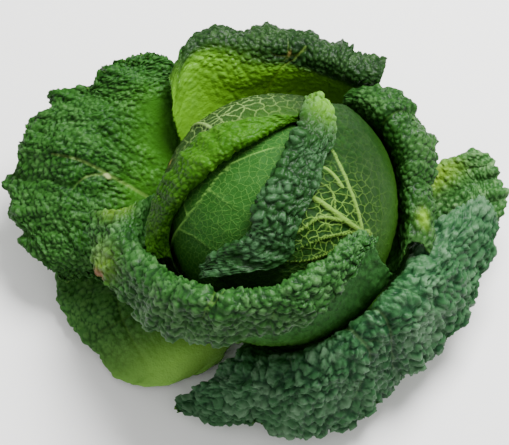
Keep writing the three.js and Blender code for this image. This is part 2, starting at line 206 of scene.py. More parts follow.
def grow_vein(lines, chance, start, heading, length, width, bend, depth):
    """A vein that wanders over the flat leaf and branches; lines gets its short straight pieces, each
    as two places and the vein's width at both."""
    x, y = start
    pieces = max(2, int(length / VEIN_STEP))
    until_branch = chance.uniform(1, 3)
    hand = chance.choice((-1, 1))
    for k in range(pieces):
        w0, w1 = (width * (1 - 0.75 * n / pieces) for n in (k, k + 1))
        heading += bend + chance.normal(0, 0.07)
        ahead = (x + VEIN_STEP * math.sin(heading), y + VEIN_STEP * math.cos(heading))
        lines.append((x, y, *ahead, w0, w1))
        x, y = ahead
        until_branch -= 1
        if depth and until_branch <= 0 and k < pieces - 1:
            left = (pieces - k) * VEIN_STEP * chance.uniform(0.45, 0.8)
            turn = heading + hand * chance.uniform(0.6, 0.95)
            grow_vein(lines, chance, (x, y), turn, left, w1 * 0.62, -hand * 0.03, depth - 1)
            hand, until_branch = -hand, chance.uniform(2.2, 4.0)


def leaf_veins(leaf, length, half_width):
    """Midrib and side veins of a leaf laid flat."""
    chance = np.random.default_rng(leaf["seed"])
    lines = []
    foot, top = 0.06, leaf.get("veined", 0.93)
    grow_vein(lines, chance, (0, 0), 0, length * top, leaf.get("midrib", 2.4), 0, 0)
    pairs = leaf.get("pairs", 7)
    for k in range(pairs):
        share = (k + 0.3) / pairs
        for hand in (-1, 1):
            start = (0, length * (foot + 0.85 * (top - foot) * share) + chance.uniform(-4, 4))
            heading = hand * math.radians(68 - 34 * share + chance.uniform(-6, 6))
            reach = half_width * (1.25 - 0.55 * share)
            width = leaf.get("side_vein", 0.45) * (1 - 0.4 * share)
            grow_vein(lines, chance, start, heading, reach, width, -hand * 0.025, 2)
    return lines


def placed_veins(leaf, w, v, x, y):
    """Veins that a leaf lists one by one, as a width and (w, v) places."""
    lines = []
    for width, places in leaf.get("veins", ()):
        cells = [(np.abs(w[:, 0] - a).argmin(), np.abs(v[0] - b).argmin()) for a, b in places]
        flat = np.array([(x[cell], y[cell]) for cell in cells])
        curve = along(flat, np.linspace(0, 1, 6 * len(flat)))
        last = len(curve) - 1
        for k in range(last):
            wide = [width * (1 - 0.6 * n / last) for n in (k, k + 1)]
            lines.append((*curve[k], *curve[k + 1], *wide))
    return lines


def vein_field(x, y, lines):
    """How far the veins stand out at each place, how close the nearest one is, from 0 to 1, and the
    same for the wide hollow along each."""
    height, near, hollow = np.zeros(x.shape), np.zeros(x.shape), np.zeros(x.shape)
    for x0, y0, x1, y1, w0, w1 in lines:
        margin = 8 + 3 * w0
        close = np.flatnonzero((x > min(x0, x1) - margin) & (x < max(x0, x1) + margin)
                               & (y > min(y0, y1) - margin) & (y < max(y0, y1) + margin))
        if not len(close):
            continue
        dx, dy = x1 - x0, y1 - y0
        px, py = x.flat[close] - x0, y.flat[close] - y0
        k = np.clip((px * dx + py * dy) / (dx * dx + dy * dy), 0, 1)
        away = np.hypot(px - k * dx, py - k * dy)
        wide = w0 + (w1 - w0) * k
        for field, strength, reach in ((height, wide, 0.4 + 0.75 * wide),
                                       (near, np.minimum(1, 0.35 + wide), 0.5 + 0.8 * wide),
                                       (hollow, np.minimum(1, 1.3 * wide), 3 + 1.5 * wide)):
            field.flat[close] = np.maximum(field.flat[close], strength * np.exp(-(away / reach) ** 2))
    return height, near, hollow


def wander(x, y, width, seed):
    """A soft value between about -1 and 1 over the flat leaf, in waves of two to three widths."""
    x, y = x / width, y / width
    total = 0
    for k, turn in enumerate((0.3, 1.4, 2.6)):
        c, d = math.cos(turn + seed), math.sin(turn + seed)
        total = total + np.sin((x * c + y * d) * (2.1 + 0.9 * k) + seed * 2.3 + k) / (1 + 0.4 * k)
    return total / 2.3


def pillow_middles(places, size, seed):
    """Places for the pillows' middles, scattered so that no two are much closer than their size: the
    places are taken in a random order, and each is kept if none kept before is too near."""
    chance = np.random.default_rng(seed)
    order = chance.permutation(len(places))
    spacing = (size.ravel() * (0.58 + 0.5 * chance.random(len(places))))[order]
    cell = float(spacing.max())
    boxes = np.floor(places[order] / cell).astype(int).tolist()
    kept, grid = [], {}
    for (a, b, c), (i, j, k), gap in zip(places[order].tolist(), boxes, spacing.tolist()):
        near = (place for m in (i - 1, i, i + 1) for n in (j - 1, j, j + 1) for o in (k - 1, k, k + 1)
                for place in grid.get((m, n, o), ()))
        if all((a - d) ** 2 + (b - e) ** 2 + (c - f) ** 2 >= gap * gap for d, e, f in near):
            grid.setdefault((i, j, k), []).append((a, b, c))
            kept.append((a, b, c))
    return kept


def pillows(sheet, x, y, size, seed):
    """Height of the pillows at each place in shares of their width, how far each place is from the
    furrows, from 0 in them to 1 on a pillow's middle, and each pillow's own number from 0 to 1."""
    # each place is pulled aside before it looks for its pillow, so that the furrows wander
    pulls = [0.26 * wander(x, y, 0.9 * size, seed + 4 * k)
             + 0.09 * wander(x, y, 0.33 * size, seed + 4 * k + 2) for k in range(3)]
    places = (sheet + size[..., None] * np.stack(pulls, -1)).reshape(-1, 3)
    middles = pillow_middles(places, size, seed)
    tree = KDTree(len(middles))
    for k, middle in enumerate(middles):
        tree.insert(middle, k)
    tree.balance()
    own = np.random.default_rng(seed + 1).random(len(middles))
    near, far, number = np.zeros(x.size), np.zeros(x.size), np.zeros(x.size, int)
    for k, place in enumerate(places.tolist()):
        first, second = tree.find_n(place, 2)
        near[k], far[k], number[k] = first[2], second[2], first[1]
    near, far, own = (a.reshape(x.shape) for a in (near, far, own[number]))
    inside = (far - near) / (far + near)
    # here and there a furrow is shallow and two pillows run together
    joined = 0.6 * ease(-0.3, 0.9, wander(x, y, 0.8 * size, seed + 2))
    round_top = joined + (1 - joined) * (1 - (1 - inside) ** 2)
    bubble = np.clip(1 - (near / (0.72 * size)) ** 2, 0, 1)
    return bubble * (0.5 + 0.5 * np.maximum(joined, ease(0, 0.45, inside))), round_top, own


def spots(leaf, kind, w, v):
    """Soft spots that a leaf lists, as (w, v, width in w, width in v)."""
    total = np.zeros(w.shape)
    for w0, v0, wide, broad in leaf.get(kind, ()):
        total = np.maximum(total, np.exp(-((w - w0) / wide) ** 2 - ((v - v0) / broad) ** 2))
    return total


# ---------------------------------------------------------------- leaf meshes

def leaf_grid(leaf):
    """A grid of w and v with cells about leaf['cell'] across, twice as long near the hidden base."""
    w, v = np.meshgrid(np.linspace(0, 1, 25), np.linspace(-1, 1, 25), indexing="ij")
    leaf["half_width"] = FIRST_HALF_WIDTH
    rough = leaf_sheet(leaf, w, v)
    length = np.linalg.norm(np.diff(rough, axis=0), axis=-1).sum(0).mean()
    width = np.linalg.norm(np.diff(rough, axis=1), axis=-1).sum(1)[8:].mean()
    leaf["half_width"] = width / 2
    fine, columns = leaf["cell"] / length, int(width / leaf["cell"])
    climb = [0.0]
    while climb[-1] < 1:
        shown = ease(leaf["hidden"] - 0.08, leaf["hidden"], climb[-1])
        climb.append(climb[-1] + fine * (2 - shown))
    return np.meshgrid(np.array(climb) / climb[-1], np.linspace(-1, 1, columns), indexing="ij")


def leaf_relief(leaf, w, v, sheet, x, y):
    """What stands out of a leaf: the rise of its upper face, its thickness, and facts for its finish."""
    seed = leaf["seed"]
    size = along(leaf["pillow_size"], w) * (1 + 0.25 * wander(x, y, SIZE_PATCH, seed + 20))
    large, top, own = pillows(sheet, x, y, size, seed)
    elsewhere = x + 500             # so that the small pillows wander in a way of their own
    small, small_top, _ = pillows(sheet, elsewhere, y, size * SMALL_PILLOW, seed + 50)
    veins = leaf_veins(leaf, float(y.max()), leaf["half_width"]) + placed_veins(leaf, w, v, x, y)
    rib, near, hollow = vein_field(x, y, veins)
    puff = along(leaf["puff"], w) * along(leaf.get("puff_across", (1, 1)), (v + 1) / 2)
    puff = puff * (1 - spots(leaf, "calm", w, v))
    edge_low = 1 - 0.5 * ease(0.96, 1, np.maximum(w, np.abs(v)))
    dome = large * (0.75 + 0.5 * own) + leaf.get("pimple", 0.28) * small * (0.3 + 0.7 * top)
    # swell is the blade's slow rise and fall, lumps are billows a few pillows wide with creases between
    swell = leaf.get("swell", 1.2) * wander(x, y, 3.4 * size, seed + 9) - 1.6 * hollow
    lumps = np.minimum(2.2 * np.abs(wander(x, y, 1.5 * size, seed + 13)), 1)
    swell = swell + leaf.get("lumps", 0) * (lumps - 0.6)
    rise = puff * (size * DOME * (1 - 0.8 * near) * edge_low * dome + swell) - 0.3 * near
    net = np.maximum((1 - top) ** 3, 0.5 * (1 - small_top) ** 3)
    thickness = BLADE + rib + NET_RISE * net
    base = 1 - ease(*leaf.get("flush_zone", (0.1, 0.5)), w)
    flush = base * along(leaf.get("flush_across", (1, 1)), (v + 1) / 2)
    depth = ease(0, 0.5, puff)
    # light is painted light and shade: lighter on the pillow tops, darker in the furrows and in the hollows
    # along the veins; the finish gets it as the dome fact
    light = np.clip(top * 0.8 + small_top * 0.25 - 0.25 * hollow, 0, 1)
    facts = {"vein": near, "net": net, "flush": np.clip(flush + spots(leaf, "glow", w, v), 0, 1), "tint": own,
             "wear": spots(leaf, "wear", w, v), "dome": light * depth + 0.6 * (1 - depth),
             "pale": spots(leaf, "pale", w, v)}
    return rise, thickness, facts


def build_leaf(name, leaf):
    """A leaf: a grid bent and puckered into its upper face, then thickened downwards."""
    w, v = leaf_grid(leaf)
    rows, columns = w.shape
    sheet = leaf_sheet(leaf, w, v)
    x, y = flat_places(sheet, leaf.get("middle", 0.5))
    rise, thickness, facts = leaf_relief(leaf, w, v, sheet, x, y)
    sheet = sheet + rise[..., None] * face_normals(sheet)

    bpy.ops.mesh.primitive_grid_add(x_subdivisions=columns - 1, y_subdivisions=rows - 1, size=2,
                                    calc_uvs=False)
    piece = bpy.context.object
    piece.name = piece.data.name = name + "_blade"
    mesh = piece.data
    mesh.vertices.foreach_set("co", (sheet * MM).astype(np.float32).ravel())
    mesh.flip_normals()
    for key, values in facts.items():
        values = values.astype(np.float32).ravel()
        mesh.attributes.new(key, "FLOAT", "POINT").data.foreach_set("value", values)
    flat = np.stack([x, y, np.zeros_like(x)], -1).astype(np.float32)
    mesh.attributes.new("flat", "FLOAT_VECTOR", "POINT").data.foreach_set("vector", flat.ravel())
    group = piece.vertex_groups.new(name="thickness")
    for k, weight in enumerate(np.clip(thickness / THICKEST, 0, 1).ravel().tolist()):
        group.add((k,), weight, "REPLACE")
    mesh.materials.append(leaf_finish(name + "_upper", **leaf["upper"]))
    mesh.materials.append(leaf_finish(name + "_lower", **leaf["lower"]))

    solid = piece.modifiers.new("blade", "SOLIDIFY")
    solid.thickness, solid.offset, solid.vertex_group = THICKEST * MM, -1, "thickness"
    solid.material_offset, solid.material_offset_rim = 1, 1
    bpy.ops.object.modifier_apply(modifier="blade")
    piece.vertex_groups.clear()
    bpy.ops.object.shade_smooth()
    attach(piece, "root")
    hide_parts(name)


def turned(name, node_name, rings, segments, place, finish):
    """A closed round piece: place takes an azimuth and the way up, 0 to 1 from the bottom pole to the
    top one, and gives the point there."""
    bpy.ops.mesh.primitive_uv_sphere_add(segments=segments, ring_count=rings, radius=1, calc_uvs=False)
    piece = bpy.context.object
    piece.name = piece.data.name = name
    for vertex in piece.data.vertices:
        x, y, z = vertex.co
        climb = math.acos(max(-1, min(1, -z))) / math.pi
        vertex.co = Vector(place(math.atan2(y, x), climb)) * MM
    piece.data.materials.append(finish)
    bpy.ops.object.shade_smooth()
    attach(piece, "root")
    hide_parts(node_name)


# ---------------------------------------------------------------- finishes

class Shade:
    """A value or colour that changes over a surface: a node's output that takes part in sums."""

    def __init__(self, tree, socket):
        self.tree, self.socket = tree, socket

    def math(self, operation, *values):
        return node(self.tree, "ShaderNodeMath", {"operation": operation}, dict(enumerate(values)))

    def __add__(self, other):
        return self.math("ADD", self, other)

    def __sub__(self, other):
        return self.math("SUBTRACT", self, other)

    def __rsub__(self, other):
        return self.math("SUBTRACT", other, self)

    def __mul__(self, other):
        return self.math("MULTIPLY", self, other)

    __radd__, __rmul__ = __add__, __mul__


def node(tree, kind, settings=None, inputs=None, output=0):
    """Adds a node: its settings first, then the values or links of its sockets. Gives one output."""
    new = tree.nodes.new(kind)
    for key, value in (settings or {}).items():
        setattr(new, key, value)
    for key, value in (inputs or {}).items():
        if isinstance(value, Shade):
            tree.links.new(value.socket, new.inputs[key])
        else:
            new.inputs[key].default_value = value
    return Shade(tree, new.outputs[output])


def colour(text):
    """A colour written as rrggbb, as the shader wants it."""
    parts = [int(text[k:k + 2], 16) / 255 for k in (0, 2, 4)]
    return tuple(c / 12.92 if c <= 0.04045 else ((c + 0.055) / 1.055) ** 2.4 for c in parts) + (1.0,)


def blend(tree, mask, a, b):
    """Colour a where the mask is 0, colour b where it is 1."""
    return node(tree, "ShaderNodeMix", {"data_type": "RGBA", "clamp_factor": True}, {0: mask, 6: a, 7: b}, 2)


def fact(tree, name):
    """A number that the mesh keeps at each of its points."""
    return node(tree, "ShaderNodeAttribute", {"attribute_name": name}, {}, 2)


def noise(tree, place, scale, detail):
    """Cloudy blotches, about scale of them to a metre."""
    return node(tree, "ShaderNodeTexNoise", {}, {"Vector": place, "Scale": scale, "Detail": detail})


def ramp(tree, value, low, high):
    """0 below low, 1 above high."""
    settings = {"interpolation_type": "SMOOTHSTEP"}
    return node(tree, "ShaderNodeMapRange", settings, {"Value": value, "From Min": low, "From Max": high})


def new_finish(name):
    """A new material, its nodes and its shader."""
    material = bpy.data.materials.new(name)
    material.use_nodes = True
    return material, material.node_tree, material.node_tree.nodes["Principled BSDF"]


def coat(tree, shader, skin, rough, height, strength, depth, shine):
    """Gives the shader its colour, its roughness, a bump of a depth in millimetres, and its shine."""
    bump = node(tree, "ShaderNodeBump", {}, {"Strength": strength, "Distance": depth * MM, "Height": height})
    for key, value in (("Base Color", skin), ("Roughness", rough), ("Normal", bump)):
        tree.links.new(value.socket, shader.inputs[key])
    shader.inputs["Specular IOR Level"].default_value = shine


def vein_net(tree, scale):
    """The fine net of veins, drawn on the leaf laid flat: 1 on a vein, 0 between them."""
    flat = node(tree, "ShaderNodeAttribute", {"attribute_name": "flat"}, {}, 1)
    bent = node(tree, "ShaderNodeTexNoise", {"noise_dimensions": "2D"},
                {"Vector": flat, "Scale": 0.25, "Detail": 2.0}, 1)
    flat = node(tree, "ShaderNodeVectorMath", {"operation": "MULTIPLY_ADD"},
                {0: bent, 1: (2.6, 2.6, 0), 2: flat})
    mesh = node(tree, "ShaderNodeTexVoronoi", {"feature": "DISTANCE_TO_EDGE", "voronoi_dimensions": "2D"},
                {"Vector": flat, "Scale": scale})
    drawn = (1 - ramp(tree, mesh, 0.02, 0.1)) * 0.85
    raised = ramp(tree, fact(tree, "net"), 0.4, 1.0) * 0.4
    return node(tree, "ShaderNodeMath", {"operation": "MAXIMUM"}, {0: drawn, 1: raised})


def leaf_finish(name, blade, furrow, vein, flush, wax_and_sheen, wax_and_sheen_share=0.3, vein_share=0.5, net_share=0.0,
                net_scale=0.28, gloss=0.42, torn="a3914e", shine=0.13):
    """A leaf's surface: furrows darker than pillows, partly as painted shade, pale veins, a brighter base,
    and a bloom of wax that is partly a painted sheen on the pillow tops. The shares say how strongly the wax
    and sheen, the raised veins and the fine net show."""
    material, tree, shader = new_finish(name)
    place = node(tree, "ShaderNodeTexCoord", output=3)
    broad, fine = noise(tree, place, 38.0, 3.0), noise(tree, place, 420.0, 4.0)
    cells = node(tree, "ShaderNodeTexVoronoi", {"feature": "DISTANCE_TO_EDGE"},
                 {"Vector": place, "Scale": 520.0})
    dome, near, tint = fact(tree, "dome"), fact(tree, "vein"), fact(tree, "tint")

    # painted light and shade: where this mask is low the furrow colour darkens the furrows and vein hollows,
    # where high the blade colour lights the pillow tops; part of the difference is the leaf's own darker
    # furrows
    painted_light_mask = ramp(tree, dome + broad * 0.35 + fine * 0.12, 0.35, 0.95)
    skin = blend(tree, painted_light_mask, colour(furrow), colour(blade))
    skin = blend(tree, fact(tree, "flush") * (broad * 0.7 + 0.6), skin, colour(flush))
    # the wax colour is partly the leaf's own bloom of wax and partly a painted sheen, laid where the pillow
    # tops are painted lit
    bloom_and_sheen = ramp(tree, dome * 0.6 + broad * 0.9 + tint * 0.35, 0.85, 1.6) * wax_and_sheen_share
    skin = blend(tree, bloom_and_sheen, skin, colour(wax_and_sheen))
    height = ramp(tree, cells, 0.0, 0.35) * 0.6 + fine * 0.6
    if net_share:
        lines = vein_net(tree, net_scale)
        shown = fact(tree, "pale") * (0.85 - net_share) + net_share
        skin = blend(tree, lines * shown, skin, colour(vein))
        height = height + lines * 1.5
    skin = blend(tree, ramp(tree, near, 0.4, 1.0) * vein_share, skin, colour(vein))
    skin = blend(tree, ramp(tree, fact(tree, "wear") + fine * 0.35, 0.25, 1.0), skin, colour(torn))
    rough = fine * 0.18 + bloom_and_sheen * 0.4 + (gloss - 0.09)
    coat(tree, shader, skin, rough, height, strength=0.35, depth=0.5, shine=shine)
    return material


def stem_finish(name):
    """A cut stem: a pale face with a woody ring and a drier rim, greener and fibrous up its sides."""
    material, tree, shader = new_finish(name)
    place = node(tree, "ShaderNodeTexCoord", output=3)
    height = node(tree, "ShaderNodeSeparateXYZ", {}, {0: place}, 2) * (1 / MM)
    flat = node(tree, "ShaderNodeVectorMath", {"operation": "MULTIPLY"}, {0: place, 1: (1, 1, 0)})
    away = node(tree, "ShaderNodeVectorMath", {"operation": "LENGTH"}, {0: flat}, 1) * (1 / MM)
    grain, blotch = noise(tree, place, 260.0, 4.0), noise(tree, place, 60.0, 2.0)
    reach = away + blotch * 3 - 1.5
    wood = ramp(tree, reach, 9.5, 10.5) * (1 - ramp(tree, reach, 12.5, 13.5))
    face = blend(tree, wood * 0.6, colour("dfe0b4"), colour("b9b37a"))
    face = blend(tree, ramp(tree, reach, 14.5, 17.5) * 0.7 + grain * 0.2, face, colour("a98f5c"))
    side = blend(tree, ramp(tree, blotch + grain * 0.4, 0.5, 0.9), colour("b8c284"), colour("8fa758"))
    skin = blend(tree, ramp(tree, height, 0.2, 1.2), face, side)
    coat(tree, shader, skin, grain * 0.2 + 0.5, grain + wood * 0.5, strength=0.4, depth=0.4, shine=0.3)
    return material


def plain_finish(name, tone, roughness):
    """One colour all over."""
    material, _, shader = new_finish(name)
    shader.inputs["Base Color"].default_value = colour(tone)
    shader.inputs["Roughness"].default_value = roughness
    return material


# ---------------------------------------------------------------- the leaves

# where leaves leave the stump, as radius and height
INNER_FOOT, MIDDLE_FOOT, OUTER_FOOT, LOWEST_FOOT = (24.2, 13.0), (24.8, 10.2), (25.4, 7.4), (26.0, 4.6)

# finishes of the upper, puckered faces, and then of the lower, ribbed ones
# the furrow colours here are partly painted shade in the furrows, and the wax colours partly a painted sheen
# on the pillow tops
DARK = dict(blade="214a16", furrow="0f300b", vein="5f8a38", flush="3a7d12", wax_and_sheen="7ba866", wax_and_sheen_share=0.18,
            vein_share=0.15)
GREEN = dict(blade="265812", furrow="133a0a", vein="74a03a", flush="559312", wax_and_sheen="80ac58", wax_and_sheen_share=0.18,
             vein_share=0.2)
FRONT = dict(GREEN, blade="214c19", furrow="0e2e0d", flush="4a6c14", wax_and_sheen="7ba56c", wax_and_sheen_share=0.28,
             torn="72543a")
SEA = dict(DARK, blade="2c5630", furrow="12351b", vein="6f9058", wax_and_sheen="8ba68a", wax_and_sheen_share=0.28, vein_share=0.2)
RIDGED = dict(DARK, blade="244f18", vein="7c9a4c", flush="2f6014", vein_share=0.3, wax_and_sheen_share=0.15, shine=0.09,
              torn="86945a")
SIDE = dict(GREEN, blade="2f5a26", furrow="1c4217", flush="739a2a", wax_and_sheen="8fb278", wax_and_sheen_share=0.35)
BRIGHT = dict(blade="234c07", furrow="102c04", vein="b5cf4a", flush="2e5c0a", wax_and_sheen="76a63e", wax_and_sheen_share=0.18,
              vein_share=0.2, shine=0.08)
# YOUNG's flush colour is partly the young leaf's own yellow-green and partly painted light shining through
# its thin blade
YOUNG = dict(blade="122f0a", furrow="081f06", vein="8cab42", flush="568a1a", wax_and_sheen="6f9a58", wax_and_sheen_share=0.12,
             vein_share=0.2)
BASAL = dict(GREEN, blade="2f5c22", flush="86ba4c", vein_share=0.1)
PUCKERED = dict(DARK, blade="163a12", furrow="092508", flush="56881e", wax_and_sheen="76a07a", wax_and_sheen_share=0.2)
RIM = dict(DARK, blade="1d4413", furrow="0c2a08", flush="6f9a24", wax_and_sheen_share=0.15)

LOWER = dict(blade="24501a", furrow="183a0e", vein="7a9f44", flush="3c6e16", wax_and_sheen="7fa064", wax_and_sheen_share=0.05,
             vein_share=0.8, net_share=0.28, shine=0.08, gloss=0.6)
INNERMOST = dict(LOWER, blade="1f4c16", vein="66943e", vein_share=0.7, net_share=0.25)
# FANNED's very dark blade is partly painted shade: it keeps the head's right side, which faces the key light,
# from coming out brighter than its left
FANNED = dict(LOWER, blade="0c2906", vein="6a9038", vein_share=0.9, net_share=0.05, net_scale=0.19)
OUTSIDE = dict(LOWER, blade="122808", furrow="0c1c05", vein="7a9a50", net_share=0.07, net_scale=0.13,
               torn="6f6a30")
SHADED = dict(LOWER, blade="255421", furrow="143510", vein="4f7a34", vein_share=0.35, net_share=0.08)
PACKED = dict(LOWER, blade="8aa648", furrow="5f7f2a", vein="c9d68a")

